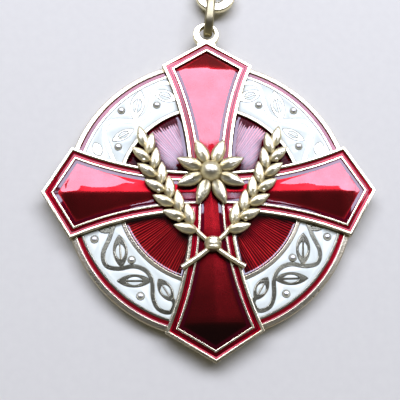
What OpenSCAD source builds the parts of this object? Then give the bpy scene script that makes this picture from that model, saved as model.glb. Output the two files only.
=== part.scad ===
// Merit medal: a gilt cross with red enamel arms lies on a round disc with a white enamel ring.
// The medal lies on its back. +Z is its face, +Y points to the hanging loop, and the origin is
// the middle of its back.

/* [Cross] */
// Distance from the centre to the point of each arm
arm_reach = 22.5; // [22.3:0.1:22.8]
// Distance from the centre to the shoulders of each arm, along the arm
shoulder_reach = 18.64; // [18.4:0.02:18.8]
// Half the width across the shoulders of an arm
shoulder_half = 6.36; // [6.2:0.02:6.5]
// Half the width of an arm at its waist
waist_half = 2.8; // [2.7:0.05:2.9]
// Radius of the curve of each arm's sides
side_r = 43; // [42:0.5:44]
// Width of the outer rim
rim_w = 0.5; // [0.45:0.01:0.55]
// Width of the narrow enamel channel inside the rim
channel_w = 0.6; // [0.5:0.01:0.65]
// Width of the ridge between the channel and the arm's panel
ridge_w = 0.35; // [0.3:0.01:0.4]

/* [Disc] */
// Radius of the disc
disc_r = 19.45; // [19.3:0.05:19.6]
// Width of the half-round outer rim
disc_rim_w = 0.74; // [0.7:0.01:0.78]
// Outer radius of the thin line inside the red border
line_r = 18.2; // [18.1:0.02:18.3]
// Width of that thin line
line_w = 0.35; // [0.3:0.01:0.4]
// Inner radius of the white enamel ring
ring_inner_r = 12.65; // [12.6:0.05:12.8]
// Width of the rim round the sunburst
inner_rim_w = 0.5; // [0.4:0.05:0.55]

/* [Heights above the back] */
// Crest of the disc's outer rim
disc_crest_z = 2.05; // [2:0.01:2.1]
// Surface of the white enamel
white_z = 1.8; // [1.75:0.01:1.85]
// Surface of the sunburst enamel
sunburst_z = 1.75; // [1.7:0.01:1.8]
// Underside of the cross plate
cross_base_z = 1.43; // [1.43:0.01:1.45]
// Top of the cross plate's rims
cross_top_z = 2.5; // [2.48:0.01:2.52]
// Edge of the arm enamel, just under the rims
panel_edge_z = 2.32; // [2.3:0.01:2.34]
// Height of the arm enamel's hip above its edge, at the shoulders
panel_rise = 0.64; // [0.5:0.02:0.66]
// Back plane of the raised emblem
emblem_base_z = 2.78; // [2.78:0.01:2.84]

/* [Ornament] */
// Width of the vine's stem
stem_w = 0.5; // [0.4:0.05:0.55]
// Radius of the beads
bead_r = 0.5; // [0.45:0.01:0.52]
// Length of a laurel leaf
laurel_leaf_len = 3.2; // [2.8:0.1:3.3]
// Width of a laurel leaf
laurel_leaf_w = 1.4; // [1.2:0.05:1.45]

/* [Hanging] */
// Outer radius of the loop on the top arm
loop_r = 1.87; // [1.85:0.01:1.9]
// Radius of the hole in that loop
loop_hole_r = 1.05; // [1.02:0.01:1.08]
// Height of the long link, across its wire
link_h = 4.2; // [4.15:0.05:4.3]
// Thickness of the link's wire
link_t = 0.8; // [0.75:0.05:0.8]
// Width of the link's wire
link_w = 1.3; // [1.2:0.05:1.3]
// Outer radius of the upper ring
upper_ring_r = 2.95; // [2.9:0.05:3]
// Radius of the hole in the upper ring
upper_hole_r = 1.45; // [1.43:0.01:1.5]

/* [Hidden] */
QUADRANTS = [1, 2, 3, 4];
FIELDS = ["sunburst_enamel_", "white_enamel_", "border_enamel_", "arm_enamel_"];

$fn = 96;
gilt = [0.83, 0.72, 0.50];
red_enamel = [0.55, 0.02, 0.05];
white_enamel_colour = [0.90, 0.92, 0.95];
gap = 0.03;

// Place along the arm where its sides are nearest
waist_x = 1.5;
side_centre_y = waist_half + side_r;
// Unit normal of an arm's end edge
end_edge = [arm_reach - shoulder_reach, shoulder_half];
end_normal = [end_edge.y, end_edge.x] / norm(end_edge);

floor_z = 1.4;
border_floor_z = 1.35;
sunburst_floor_z = 1.25;
line_top_z = 1.9;
inner_rim_top_z = 1.95;
vine_top_z = 1.84;
bead_z = 1.74;
cross_floor_z = 2.0;
channel_top_z = 2.35;
sunburst_r = ring_inner_r - inner_rim_w;
border_r = disc_r - disc_rim_w;
panel_inset = rim_w + channel_w + ridge_w + gap;

// Vine, for the right-hand side of the medal: the stem's own points, then each leaf's base, tip
// and width with 1 where the leaf is pierced by two slots, then the beads
lower_stem = [
    [12.9, -4.2], [13.5, -6.2], [14.3, -8.2], [13.9, -9.8], [12.3, -10.25], [10.3, -9.95],
    [8.7, -10.6], [7.95, -12], [7.85, -14], [7.2, -15.5], [5.8, -16], [5.1, -15], [5.4, -14.2]
];
lower_leaves = [
    [[11.9, -10.1], [12.25, -5.75], 1.85, 1],
    [[8.0, -11.9], [12.5, -11.85], 1.65, 1],
    [[5.3, -14.6], [7.15, -11.65], 1.7, 1],
    [[13.1, -5.2], [15.1, -4.9], 0.9, 0]
];
lower_beads = [[15.45, -6.3], [10.6, -9.1], [9.45, -13.85]];
upper_stem = [
    [12.9, 4.2], [14.0, 7.2], [14.4, 9.0], [13.8, 10.2], [12.4, 10.45], [10.5, 10.4],
    [9.0, 10.95], [8.2, 12.2], [7.8, 14], [7.4, 15.5], [6.5, 16.15], [5.0, 16.1]
];
upper_leaves = [
    [[10.3, 10.5], [9.4, 15.0], 1.9, 1],
    [[10.3, 9.2], [13.3, 7.45], 1.3, 1],
    [[14.9, 5.3], [15.6, 7.25], 1.3, 0],
    [[7.6, 14.8], [4.3, 13.6], 1.7, 1]
];
upper_beads = [[12.05, 11.95], [7.15, 12.8], [12.45, 6.6]];
spline_steps = 4;
// Share of a leaf's length and width that its pair of slots takes
slot_len_share = 0.52;
slot_w_share = 0.7;
midrib_w = 0.2;
slot_shift = -0.05;
// How deep the vine and the beads are rooted below the ring's floor
root = 0.1;
vine_clear = 0.02;
disc_chamfer = 0.2;

// Arm: how far the shapes that cut its outline run past it
overrun = 1.6;
// Hip of the arm's enamel: how its height falls towards the waist, and its run past the shoulders
hip_power = 1.3;
hip_overrun = 0.36;
panel_parts = 10;
panel_foot = 0.05;
foot_clear = 0.02;

// Rosette of leaf-shaped petals round a boss, in the middle of the wreath
rosette_centre = [0, 2.6];
petals = 8;
petal_start = 1.0;
petal_scale = [1.22, 1.25, 1.25];
boss_r = 1.6;
boss_h = 1.7;
boss_sides = 20;
boss_steps = 12;
// Knot where the two branches cross: place along Y, half width, height above the back plane
knot_rows = [
    [-6.35, 0.55, 0.75], [-6.6, 0.95, 1.05], [-7.0, 1.15, 1.2], [-7.6, 1.15, 1.2],
    [-8.0, 0.95, 1.05], [-8.25, 0.55, 0.75]
];
knot_sides = 12;

// Laurel branch, as an arc: its centre, radius and the angles of its foot and its tip
branch_centre = [-18, 13.7];
branch_r = 27.8;
branch_foot = -60;
branch_tip = -15.5;
first_leaf = -44;
leaf_pairs = 6;
leaf_lean = 30;
branch_stem_r = 0.4;
laurel_leaf_h = 0.85;
leaf_edge_h = 0.3;
// Flat top of a leaf's midrib: its start, its width and how much shorter than the leaf it is
rib_start = 0.3;
rib_w = 0.1;
rib_short = 0.7;
// Share of a step by which the outer leaves are later than the inner ones
leaf_stagger = 0.45;
tip_leaf_shift = -0.2;
berry_r = 0.38;
berry_share = 0.2;
berry_reach = 0.75;
berry_h = 0.25;
emblem_half = 15;
emblem_h = 3;

loop_centre = [0, 23.62];
loop_hole_centre = [0.15, 23.85];
loop_base_z = 1.5;
loop_top_z = 2.4;
loop_foot_half = 1.35;
loop_foot_start = 21.5;
loop_foot_len = 1.5;
link_foot = [0.27, 23.78];
link_lean = 6.5;
link_reach = 7.1;
upper_ring_centre = [1.6, 30.65];
upper_ring_base_z = 0.95;
upper_ring_t = 0.9;

// Half the width of an arm at x, drawn in by inset
function side_y(x, inset) =
    side_centre_y - sqrt(pow(side_r + inset, 2) - pow(x - waist_x, 2));

// Reach of an arm's point, drawn in by inset
function end_x(inset) = arm_reach - inset / end_normal.x;

// Place on the end edge where it meets the curved side, by halving the interval
function shoulder_x(inset, near = 15, far = 20, rounds = 20) =
    let(
        middle = (near + far) / 2,
        edge_y = (end_x(inset) - middle) * end_edge.y / end_edge.x
    )
    rounds == 0 ? middle
    : edge_y > side_y(middle, inset) ? shoulder_x(inset, middle, far, rounds - 1)
    : shoulder_x(inset, near, middle, rounds - 1);

// Smooth curve through the points p
function curve_point(a, b, c, d, t) =
    0.5 * (2 * b + (c - a) * t + (2 * a - 5 * b + 4 * c - d) * t * t
    + (3 * b - a - 3 * c + d) * t * t * t);
function curve(p) = [
    for (i = [0:len(p) - 2], s = [0:spline_steps - 1])
        curve_point(p[max(i - 1, 0)], p[i], p[i + 1], p[min(i + 2, len(p) - 1)], s / spline_steps),
    p[len(p) - 1]
];

// Outline of a stroke of half width h along the points p
function across(p, i) =
    let(d = p[min(i + 1, len(p) - 1)] - p[max(i - 1, 0)])
    [-d.y, d.x] / norm(d);
function stroke(p, h) = [
    for (i = [0:len(p) - 1]) p[i] + h * across(p, i),
    for (i = [len(p) - 1:-1:0]) p[i] - h * across(p, i)
];

// One arm of the cross along +X, drawn in by inset
module arm_outline(inset) {
    tip = end_x(inset);
    intersection() {
        polygon([
            [tip, 0], [tip - overrun * end_edge.x, overrun * end_edge.y],
            [0, overrun * end_edge.y], [0, -overrun * end_edge.y],
            [tip - overrun * end_edge.x, -overrun * end_edge.y]
        ]);
        difference() {
            translate([0, -overrun * shoulder_half])
                square([overrun * arm_reach, 2 * overrun * shoulder_half]);
            for (side = [-1, 1])
                translate([waist_x, side * side_centre_y]) circle(r = side_r + inset, $fn = 360);
        }
    }
}

module cross_outline(inset) {
    for (turn = [0:3]) rotate(90 * turn) arm_outline(inset);
}

// What lies in quadrant k: 1 is right and up, and the rest follow anticlockwise
module in_quadrant(k) {
    intersection() {
        rotate(90 * (k - 1)) square(disc_r);
        children();
    }
}

// Draws the right-hand side's children on the side where quadrant k lies
module on_side(k) {
    mirror([k == 2 || k == 3 ? 1 : 0, 0, 0]) children();
}

// Pointed leaf outline from the origin along +X
module leaf_outline(length, width, grow = 0) {
    r = (length * length + width * width) / (4 * width);
    intersection_for(side = [-1, 1])
        translate([length / 2, side * (r - width / 2)]) circle(r = r + grow);
}

module place_leaf(base, tip) {
    way = tip - base;
    translate(base) rotate(atan2(way.y, way.x)) children();
}

module leaf_slots(length, width, shrink = 0) {
    slot_len = slot_len_share * length;
    difference() {
        translate([(length - slot_len) / 2 + slot_shift, 0])
            leaf_outline(slot_len, slot_w_share * width, -shrink);
        translate([0, -midrib_w / 2 - shrink]) square([length, midrib_w + 2 * shrink]);
    }
}

// The vine's lines in quadrant k, made wider by grow, without the slots in its leaves
module vine(k, grow = 0) {
    stem = k <= 2 ? upper_stem : lower_stem;
    leaves = k <= 2 ? upper_leaves : lower_leaves;
    on_side(k) {
        polygon(stroke(curve(stem), stem_w / 2 + grow));
        for (leaf = leaves)
            place_leaf(leaf[0], leaf[1]) leaf_outline(norm(leaf[1] - leaf[0]), leaf[2], grow);
    }
}

module vine_slots(k, shrink = 0) {
    leaves = k <= 2 ? upper_leaves : lower_leaves;
    on_side(k)
        for (leaf = leaves)
            if (leaf[3] == 1) place_leaf(leaf[0], leaf[1])
                leaf_slots(norm(leaf[1] - leaf[0]), leaf[2], shrink);
}

module bead_places(k) {
    on_side(k) for (place = k <= 2 ? upper_beads : lower_beads) translate(place) children();
}

// The white ring's field in quadrant k, kept clear of its rims and of the cross
module ring_field(k, clear) {
    in_quadrant(k) difference() {
        circle(r = line_r - line_w - clear);
        circle(r = ring_inner_r + clear);
        cross_outline(-gap - clear);
    }
}

module disc_profile() {
    rim_half = disc_rim_w / 2;
    polygon([
        [0, 0], [disc_r - disc_chamfer, 0], [disc_r, disc_chamfer],
        [disc_r, disc_crest_z - rim_half],
        [border_r, disc_crest_z - rim_half], [border_r, border_floor_z],
        [line_r, border_floor_z], [line_r, line_top_z], [line_r - line_w, line_top_z],
        [line_r - line_w, floor_z], [ring_inner_r, floor_z], [ring_inner_r, inner_rim_top_z],
        [sunburst_r, inner_rim_top_z], [sunburst_r, sunburst_floor_z], [0, sunburst_floor_z]
    ]);
    translate([disc_r - rim_half, disc_crest_z - rim_half]) circle(r = rim_half);
}

module disc() {
    color(gilt) {
        difference() {
            rotate_extrude() disc_profile();
            translate([0, 0, floor_z]) linear_extrude(cross_top_z) cross_outline(-gap);
        }
        for (k = QUADRANTS) {
            translate([0, 0, floor_z - root]) linear_extrude(vine_top_z - floor_z + root)
                intersection() {
                    ring_field(k, vine_clear);
                    difference() {
                        vine(k);
                        vine_slots(k);
                    }
                }
            bead_places(k) {
                translate([0, 0, bead_z]) sphere(r = bead_r);
                translate([0, 0, floor_z - root]) cylinder(r = bead_r, h = bead_z - floor_z + root);
            }
        }
    }
}

module cross() {
    color(gilt) difference() {
        union() {
            translate([0, 0, cross_base_z]) linear_extrude(cross_floor_z - cross_base_z)
                cross_outline(0);
            translate([0, 0, cross_base_z]) linear_extrude(cross_top_z - cross_base_z)
                difference() {
                    cross_outline(0);
                    cross_outline(rim_w);
                }
            translate([0, 0, cross_base_z]) linear_extrude(cross_top_z - cross_base_z)
                difference() {
                    cross_outline(rim_w + channel_w);
                    cross_outline(rim_w + channel_w + ridge_w);
                }
            translate([0, 0, loop_base_z]) linear_extrude(loop_top_z - loop_base_z) {
                translate(loop_centre) circle(r = loop_r);
                difference() {
                    translate([-loop_foot_half, loop_foot_start])
                        square([2 * loop_foot_half, loop_foot_len]);
                    cross_outline(rim_w);
                }
            }
        }
        translate([loop_hole_centre.x, loop_hole_centre.y, 0])
            cylinder(r = loop_hole_r, h = 2 * cross_top_z);
    }
}

module channel_enamel() {
    color(red_enamel) translate([0, 0, cross_floor_z + gap])
        linear_extrude(channel_top_z - cross_floor_z - gap)
            difference() {
                cross_outline(rim_w + gap);
                cross_outline(rim_w + channel_w - gap);
            }
}

module sunburst_enamel(k) {
    color(red_enamel) translate([0, 0, sunburst_floor_z + gap])
        linear_extrude(sunburst_z - sunburst_floor_z - gap)
            in_quadrant(k) difference() {
                circle(r = sunburst_r - gap);
                cross_outline(-2 * gap);
            }
}

module border_enamel(k) {
    color(red_enamel) translate([0, 0, border_floor_z + gap])
        linear_extrude(white_z - border_floor_z - gap)
            in_quadrant(k) difference() {
                circle(r = border_r - gap);
                circle(r = line_r + gap);
                cross_outline(-2 * gap);
            }
}

module white_enamel(k) {
    color(white_enamel_colour) translate([0, 0, floor_z + gap])
        linear_extrude(white_z - floor_z - gap) {
            difference() {
                ring_field(k, gap);
                vine(k, gap);
                bead_places(k) circle(r = bead_r + gap);
            }
            intersection() {
                ring_field(k, gap);
                vine_slots(k, gap);
            }
        }
}

// Hipped enamel of the arm along +X: its edges follow the arm, and its hip runs to the point
// between the shoulders
module arm_panel() {
    shoulder = shoulder_x(panel_inset);
    start = side_y(waist_x, panel_inset) + foot_clear;
    parts = panel_parts;
    half_widest = side_y(shoulder, panel_inset);
    base = cross_floor_z + gap;
    stations = [for (i = [0:parts]) start + (shoulder - start) * i / parts];
    halves = [for (x = stations) side_y(x, panel_inset)];
    hips = [for (h = halves) panel_edge_z + panel_rise * pow(h / half_widest, hip_power)];
    rows = parts + 1;
    left = [for (i = [0:parts]) [stations[i], halves[i], panel_edge_z]];
    right = [for (i = [0:parts]) [stations[i], -halves[i], panel_edge_z]];
    hip = [for (i = [0:parts]) [stations[i] + (i == parts ? hip_overrun : 0), 0, hips[i]]];
    left_base = [for (p = left) [p.x, p.y, base]];
    right_base = [for (p = right) [p.x, p.y, base]];
    centre = 5 * rows;
    tip = centre + 2;
    points = concat(
        left, hip, right, left_base, right_base,
        [[panel_foot, 0, panel_edge_z], [panel_foot, 0, base]],
        [[end_x(panel_inset), 0, panel_edge_z], [end_x(panel_inset), 0, base]]
    );
    last = parts;
    faces = concat(
        [for (i = [0:parts - 1]) each [
            [i, i + 1, rows + i + 1], [i, rows + i + 1, rows + i],
            [rows + i, rows + i + 1, 2 * rows + i + 1], [rows + i, 2 * rows + i + 1, 2 * rows + i],
            [i + 1, i, 3 * rows + i], [i + 1, 3 * rows + i, 3 * rows + i + 1],
            [2 * rows + i, 2 * rows + i + 1, 4 * rows + i + 1],
            [2 * rows + i, 4 * rows + i + 1, 4 * rows + i],
            [3 * rows + i, 4 * rows + i, 4 * rows + i + 1],
            [3 * rows + i, 4 * rows + i + 1, 3 * rows + i + 1]
        ]],
        // The end facets and the walls below them
        [
            [last, tip, rows + last], [rows + last, tip, 2 * rows + last],
            [last, 3 * rows + last, tip + 1], [last, tip + 1, tip],
            [2 * rows + last, tip, tip + 1], [2 * rows + last, tip + 1, 4 * rows + last],
            [3 * rows + last, 4 * rows + last, tip + 1]
        ],
        // The mitred foot at the middle of the cross
        [
            [centre, 0, rows], [centre, rows, 2 * rows],
            [centre, centre + 1, 3 * rows], [centre, 3 * rows, 0],
            [centre, 2 * rows, 4 * rows], [centre, 4 * rows, centre + 1],
            [centre + 1, 4 * rows, 3 * rows]
        ]
    );
    polyhedron(points, faces);
}

module arm_enamel(k) {
    color(red_enamel) rotate(90 * (k - 1)) arm_panel();
}

// Half-round bar along Y, flat at the back, through rows of place, half width and height
module relief_bar(rows, sides) {
    n = sides + 1;
    ring_points = [
        for (row = rows, i = [0:sides])
            [row[1] * cos(180 * i / sides), row[0], row[2] * sin(180 * i / sides)]
    ];
    walls = [
        for (r = [0:len(rows) - 2], i = [0:sides])
            let(j = (i + 1) % n)
            each [
                [r * n + i, (r + 1) * n + i, (r + 1) * n + j],
                [r * n + i, (r + 1) * n + j, r * n + j]
            ]
    ];
    last = (len(rows) - 1) * n;
    caps = [
        [for (i = [0:sides]) i],
        [for (i = [sides:-1:0]) last + i]
    ];
    polyhedron(ring_points, concat(walls, caps));
}

// Laurel leaf from the origin along +X, with a raised midrib
module laurel_leaf() {
    hull() {
        linear_extrude(leaf_edge_h) leaf_outline(laurel_leaf_len, laurel_leaf_w, $fn = 20);
        translate([rib_start, -rib_w / 2, 0])
            cube([laurel_leaf_len - rib_short, rib_w, laurel_leaf_h]);
    }
}

// The branch that rises to the right
module laurel_branch() {
    step = (branch_tip - first_leaf) / leaf_pairs;
    translate(branch_centre) {
        rotate([0, 0, branch_foot]) rotate_extrude(angle = branch_tip - branch_foot, $fn = 120)
            translate([branch_r, 0]) intersection() {
                circle(r = branch_stem_r, $fn = 16);
                translate([-branch_stem_r, 0]) square([2 * branch_stem_r, branch_stem_r]);
            }
        for (i = [0:leaf_pairs - 1], side = [-1, 1]) {
            turn = first_leaf + step * (i + (side > 0 ? leaf_stagger : 0));
            rotate(turn) translate([branch_r, 0]) rotate(90 + side * leaf_lean) laurel_leaf();
        }
        rotate(branch_tip) translate([branch_r, tip_leaf_shift]) rotate(90) laurel_leaf();
        for (i = [1:2:leaf_pairs - 1])
            rotate(first_leaf + step * (i + berry_share))
                translate([branch_r + berry_reach, 0, berry_h]) sphere(r = berry_r, $fn = 14);
    }
}

// Half-round boss with a ring of petals
module rosette() {
    boss_rows = [
        for (i = [0:boss_steps])
            let(turn = 5 + 170 * i / boss_steps)
            [boss_r * cos(turn), boss_r * sin(turn), boss_h * sin(turn)]
    ];
    relief_bar(boss_rows, boss_sides);
    for (i = [0:petals - 1])
        rotate(360 * (i + 0.5) / petals) translate([petal_start, 0]) scale(petal_scale)
            laurel_leaf();
}

module trophy() {
    color(gilt) translate([0, 0, emblem_base_z]) {
        translate(rosette_centre) rosette();
        relief_bar(knot_rows, knot_sides);
        intersection() {
            union() {
                laurel_branch();
                mirror([1, 0, 0]) laurel_branch();
            }
            translate([-emblem_half, -emblem_half, 0])
                cube([2 * emblem_half, 2 * emblem_half, emblem_h]);
        }
    }
}

// Long oval link, upright in the plane that leans from the Y axis
module link() {
    bend_r = (link_h - link_t) / 2;
    straight = link_reach - 2 * bend_r;
    color(gilt) translate([link_foot.x, link_foot.y, link_h / 2]) rotate(-link_lean)
        rotate([0, 0, 90]) rotate([90, 0, 0]) {
            translate([bend_r, 0, 0]) rotate(90) rotate_extrude(angle = 180) link_section(bend_r);
            translate([bend_r + straight, 0, 0]) rotate(-90) rotate_extrude(angle = 180)
                link_section(bend_r);
            for (side = [-1, 1])
                translate([bend_r, side * bend_r, 0]) rotate([0, 90, 0])
                    linear_extrude(straight) rotate(90) link_section(0);
        }
}

// Flattened wire with round edges, wide along the second axis
module link_section(offset_x) {
    translate([offset_x, 0]) {
        square([link_t, link_w - link_t], center = true);
        for (side = [-1, 1])
            translate([0, side * (link_w - link_t) / 2]) circle(r = link_t / 2);
    }
}

module upper_ring() {
    color(gilt) translate([upper_ring_centre.x, upper_ring_centre.y, upper_ring_base_z])
        difference() {
            cylinder(r = upper_ring_r, h = upper_ring_t);
            translate([0, 0, -upper_ring_t]) cylinder(r = upper_hole_r, h = 3 * upper_ring_t);
        }
}

disc();
cross();
channel_enamel();
for (k = QUADRANTS) {
    sunburst_enamel(k);
    white_enamel(k);
    border_enamel(k);
    arm_enamel(k);
}
trophy();
link();
upper_ring();
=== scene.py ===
import math

import bmesh
import bpy
from mathutils import Matrix, Vector, noise


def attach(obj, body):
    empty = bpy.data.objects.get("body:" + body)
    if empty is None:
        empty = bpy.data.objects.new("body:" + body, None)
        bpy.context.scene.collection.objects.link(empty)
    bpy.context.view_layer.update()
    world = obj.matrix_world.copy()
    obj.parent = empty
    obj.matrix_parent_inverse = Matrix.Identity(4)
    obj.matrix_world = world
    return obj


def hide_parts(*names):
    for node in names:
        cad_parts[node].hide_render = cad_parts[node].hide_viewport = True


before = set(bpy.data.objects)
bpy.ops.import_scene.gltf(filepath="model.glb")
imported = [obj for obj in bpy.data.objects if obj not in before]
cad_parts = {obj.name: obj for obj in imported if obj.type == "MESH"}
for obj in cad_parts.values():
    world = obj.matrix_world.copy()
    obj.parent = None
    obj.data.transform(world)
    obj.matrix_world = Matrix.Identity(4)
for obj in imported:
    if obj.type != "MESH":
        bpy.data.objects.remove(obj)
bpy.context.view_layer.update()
mm = 0.001
print("frame loaded")

# Camera, light and floor
studio = {
    "lens": 62.89,
    "cameraPlace": (-7.534, -27.498, 91.629),
    "cameraTurn": (16.473, -3.432, -1.467),
    "windowPlace": (75, 310, 450),
    "windowSize": (930, 324),
    "windowTurn": -4,
    "windowGlow": 8.0,
    "windowColour": (0.87, 0.92, 1.28),
    "roomColour": (1.0, 0.96, 0.88),
    "roomOverhead": 0.05,
    "roomHorizon": 0.42,
    "roomRange": (0.1, 0.8),
    "floorSize": 1600,
    "floorColour": (0.60, 0.575, 0.455),
    "floorDrift": (0.58, 0.555, 0.44),
    "floorGrain": 900.0,
    "floorRoughness": 0.8,
}
scene = bpy.context.scene
scene.view_settings.view_transform = "Standard"
camera = bpy.data.objects.new("camera", bpy.data.cameras.new("camera"))
scene.collection.objects.link(camera)
camera.data.lens = studio["lens"]
camera.data.clip_start = mm
camera.location = Vector(studio["cameraPlace"]) * mm
camera.rotation_euler = [math.radians(turn) for turn in studio["cameraTurn"]]
scene.camera = camera

window = bpy.data.objects.new("window", bpy.data.lights.new("window", "AREA"))
scene.collection.objects.link(window)
window.data.shape = "RECTANGLE"
window.data.size = studio["windowSize"][0] * mm
window.data.size_y = studio["windowSize"][1] * mm
window.data.energy = (math.pi * studio["windowGlow"]
                      * window.data.size * window.data.size_y)
window.data.color = studio["windowColour"]
window.location = Vector(studio["windowPlace"]) * mm
window.rotation_euler = (0, 0, math.radians(studio["windowTurn"]))

room = bpy.data.worlds.new("room")
scene.world = room
room.use_nodes = True


# Gives a node its inputs, each a value or the socket that feeds it
def feed(tree, node, inputs):
    for key, value in inputs.items():
        if isinstance(value, bpy.types.NodeSocket):
            tree.links.new(value, node.inputs[key])
        else:
            node.inputs[key].default_value = value
    return node


def putNode(tree, kind, inputs, **settings):
    made = tree.nodes.new(kind)
    for key, value in settings.items():
        setattr(made, key, value)
    return feed(tree, made, inputs)


def startMaterial(name):
    material = bpy.data.materials.new(name)
    material.use_nodes = True
    tree = material.node_tree
    return material, tree, tree.nodes["Principled BSDF"]


# Starts a node group whose inputs and outputs are plain numbers
def startGroup(name, inputs, outputs):
    tree = bpy.data.node_groups.new(name, "ShaderNodeTree")
    for socketName, value in inputs.items():
        socket = tree.interface.new_socket(socketName, in_out="INPUT",
                                           socket_type="NodeSocketFloat")
        socket.default_value = value
    for socketName in outputs:
        tree.interface.new_socket(socketName, in_out="OUTPUT", socket_type="NodeSocketFloat")
    given = tree.nodes.new("NodeGroupInput").outputs
    return tree, given, tree.nodes.new("NodeGroupOutput")


def useGroup(tree, group, **values):
    return putNode(tree, "ShaderNodeGroup", values, node_tree=group).outputs


def mathNode(tree, operation, first, second=0.0):
    return putNode(tree, "ShaderNodeMath", {0: first, 1: second}, operation=operation).outputs[0]


def product(tree, first, *others):
    for other in others:
        first = mathNode(tree, "MULTIPLY", first, other)
    return first


def rangeNode(tree, value, low, high, toLow=0.0, toHigh=1.0):
    return putNode(tree, "ShaderNodeMapRange", {
        "Value": value, "From Min": low, "From Max": high, "To Min": toLow, "To Max": toHigh,
    }).outputs[0]


# A colour is a socket, or its red, green and blue
def mixColours(tree, factor, *colours):
    first, second = (c if isinstance(c, bpy.types.NodeSocket) else (*c, 1) for c in colours)
    return putNode(tree, "ShaderNodeMix", {0: factor, 6: first, 7: second},
                   data_type="RGBA").outputs[2]


def objectPlace(tree):
    return tree.nodes.new("ShaderNodeTexCoord").outputs["Object"]


def noiseNode(tree, place, scale, detail, roughness=0.5):
    return putNode(tree, "ShaderNodeTexNoise", {
        "Vector": place, "Scale": scale, "Detail": detail, "Roughness": roughness,
    }).outputs[0]


def bumpNormal(tree, strength, depth, height):
    return putNode(tree, "ShaderNodeBump", {
        "Strength": strength, "Distance": depth * mm, "Height": height,
    }).outputs[0]


# The room is dark overhead and brighter round the sides
roomTree = room.node_tree
upward = putNode(roomTree, "ShaderNodeSeparateXYZ", {
    0: roomTree.nodes.new("ShaderNodeTexCoord").outputs["Generated"]}).outputs["Z"]
feed(roomTree, roomTree.nodes["Background"], {
    "Color": (*studio["roomColour"], 1),
    "Strength": rangeNode(roomTree, upward, *studio["roomRange"], studio["roomHorizon"],
                          studio["roomOverhead"]),
})

# Noise keeps near its middle value; a finish drifts over these parts of it
wideDrift = (0.3, 0.7)
narrowDrift = (0.35, 0.65)
marksLook = {
    "cloudDetail": 4.0, "cloudRoughness": 0.55, "grainDetail": 3.0, "grainRoughness": 0.6,
    "scratchTurn": 0.6, "scratchStretch": 14, "scratchDetail": 6.0, "scratchRange": (0.58, 0.72),
    "hollowRange": (0.95, 0.35), "hollowSamples": 8,
}


# Broad cloudiness, fine grain, scratches and a hollow mask for grime and painted shade, which every
# finish uses
def makeSurfaceGroup(look):
    tree, given, result = startGroup(
        "surfaceMarks", {"Cloud": 250, "Grain": 9000, "Scratch": 700, "Reach": 0.0004},
        ("Cloud", "Grain", "Scratch", "Hollow"))
    place = objectPlace(tree)
    stretched = putNode(tree, "ShaderNodeMapping", {
        "Vector": place, "Rotation": (0, 0, look["scratchTurn"]),
        "Scale": (1, look["scratchStretch"], 1),
    }).outputs[0]
    scratch = noiseNode(tree, stretched, given["Scratch"], look["scratchDetail"])
    hollow = putNode(tree, "ShaderNodeAmbientOcclusion", {"Distance": given["Reach"]},
                     samples=look["hollowSamples"]).outputs["AO"]
    feed(tree, result, {
        "Cloud": noiseNode(tree, place, given["Cloud"], look["cloudDetail"],
                           look["cloudRoughness"]),
        "Grain": noiseNode(tree, place, given["Grain"], look["grainDetail"],
                           look["grainRoughness"]),
        "Scratch": rangeNode(tree, scratch, *look["scratchRange"]),
        "Hollow": rangeNode(tree, hollow, *look["hollowRange"]),
    })
    return tree


raysLook = {"patch": 0.37, "patchDetail": 2.0, "sharpness": 1.3, "shallow": 0.45}


# Fine rays out of the middle of the disc, uneven in width and depth
def makeRayGroup(look):
    tree, given, result = startGroup("raysUnderEnamel", {"Rays": 190, "Unevenness": 2.6}, ("Ray",))
    place = putNode(tree, "ShaderNodeSeparateXYZ", {0: objectPlace(tree)}).outputs
    angle = mathNode(tree, "ARCTAN2", place["Y"], place["X"])
    count = product(tree, mathNode(tree, "DIVIDE", angle, 2 * math.pi), given["Rays"])
    uneven = putNode(tree, "ShaderNodeTexNoise",
                     {"W": count, "Scale": look["patch"], "Detail": look["patchDetail"]},
                     noise_dimensions="1D").outputs[0]
    shifted = mathNode(tree, "ADD", count, product(tree, uneven, given["Unevenness"]))
    wave = mathNode(tree, "SINE", product(tree, shifted, 2 * math.pi))
    ray = mathNode(tree, "POWER", rangeNode(tree, wave, -1.0, 1.0), look["sharpness"])
    depth = rangeNode(tree, uneven, *wideDrift, look["shallow"], 1.0)
    feed(tree, result, {"Ray": product(tree, ray, depth)})
    return tree


surfaceMarks = makeSurfaceGroup(marksLook)
raysUnderEnamel = makeRayGroup(raysLook)


# Gilt metal: tone drifts slowly, hollows are browner (partly grime, partly painted shade), the
# grain is fine and cast
def makeGilt(name, look):
    material, tree, shader = startMaterial(name)
    marks = useGroup(tree, surfaceMarks, Cloud=look["cloud"], Grain=look["grain"],
                     Scratch=look["scratch"], Reach=look["reach"] * mm)
    tone = mixColours(tree, rangeNode(tree, marks["Cloud"], *narrowDrift), look["colour"],
                      look["warmColour"])
    smoothest, roughest = (look["roughness"] + drift for drift in look["roughDrift"])
    rough = mathNode(tree, "ADD",
                     rangeNode(tree, marks["Cloud"], *wideDrift, smoothest, roughest),
                     product(tree, marks["Scratch"], look["scratchRoughness"]))
    feed(tree, shader, {
        # Browner towards the hollows: partly grime, partly painted shade
        "Base Color": mixColours(tree, product(tree, marks["Hollow"], look["hollowGrimeAndShade"]), tone,
                                 look["hollowGrimeAndShadeColour"]),
        "Roughness": mathNode(tree, "ADD", rough,
                              product(tree, marks["Hollow"], look["dirtRoughness"])),
        "Metallic": 1.0,
        "Normal": bumpNormal(tree, look["bump"], look["bumpDepth"], marks["Grain"]),
    })
    return material


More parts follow.
